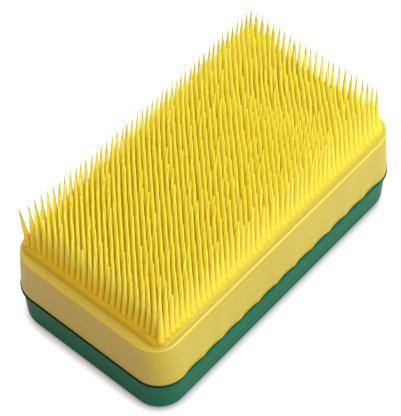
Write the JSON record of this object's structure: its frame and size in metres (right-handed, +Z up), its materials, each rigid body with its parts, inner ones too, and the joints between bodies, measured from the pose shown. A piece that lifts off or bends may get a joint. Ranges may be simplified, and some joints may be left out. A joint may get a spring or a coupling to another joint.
{
  "type": "vegetable scrub brush",
  "caption": "Palm-sized oblong scrub brush with a smooth rigid back and a soft fluted bristle pad, its short tapered bristles standing in a square grid.",
  "frame": {"origin": "under the middle of the brush, on the surface its back lies on", "axes": "+X along the length, +Y across the width, +Z up from the back towards the bristle tips"},
  "size_m": [0.1116, 0.062, 0.0501],
  "materials": {
    "soft_pad": "satin soft moulded thermoplastic rubber, pale yellow",
    "hard_back": "fine satin moulded plastic, sea green"
  },
  "bodies": {
    "root": {"bristle_pad": "soft_pad", "back": "hard_back"}
  },
  "joints": []
}
